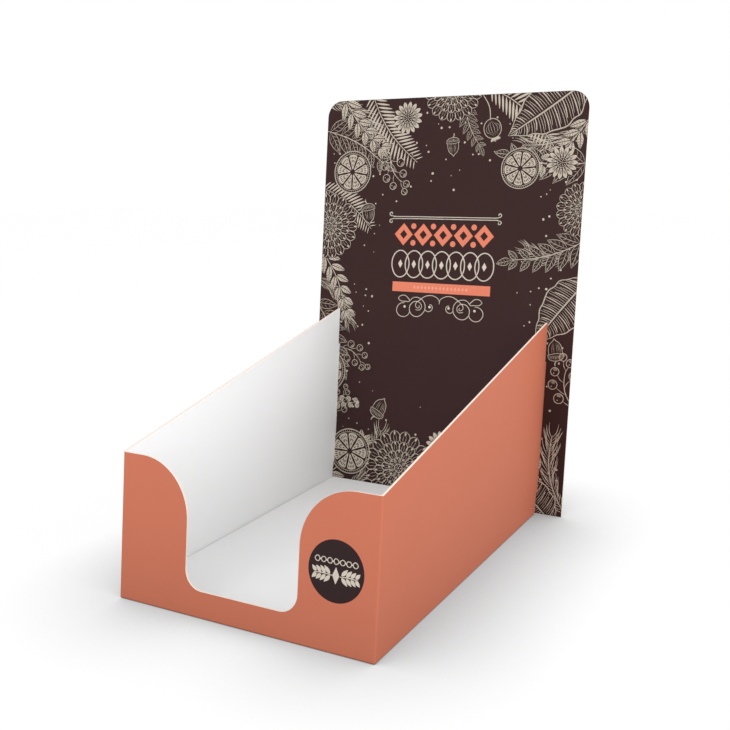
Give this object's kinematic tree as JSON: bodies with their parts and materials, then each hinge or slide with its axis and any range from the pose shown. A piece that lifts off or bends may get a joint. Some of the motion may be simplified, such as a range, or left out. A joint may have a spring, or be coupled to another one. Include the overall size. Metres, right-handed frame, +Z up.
{
  "type": "cardboard counter display stand",
  "caption": "Counter display stand of printed card: a folded open tray with a low front window and rising sides, and a tall header card pushed onto the tray's rear tabs.",
  "frame": {"origin": "centre of the overall box at the height of the table that the stand rests on", "axes": "+Z up from the table, +Y towards the header card at the back, +X to the right as seen from the front"},
  "size_m": [0.219, 0.2992, 0.3108],
  "materials": {
    "coral_printed_card": "satin",
    "brown_printed_card": "satin"
  },
  "bodies": {
    "root": {"tray": "coral_printed_card", "header_card": "brown_printed_card"}
  },
  "joints": []
}
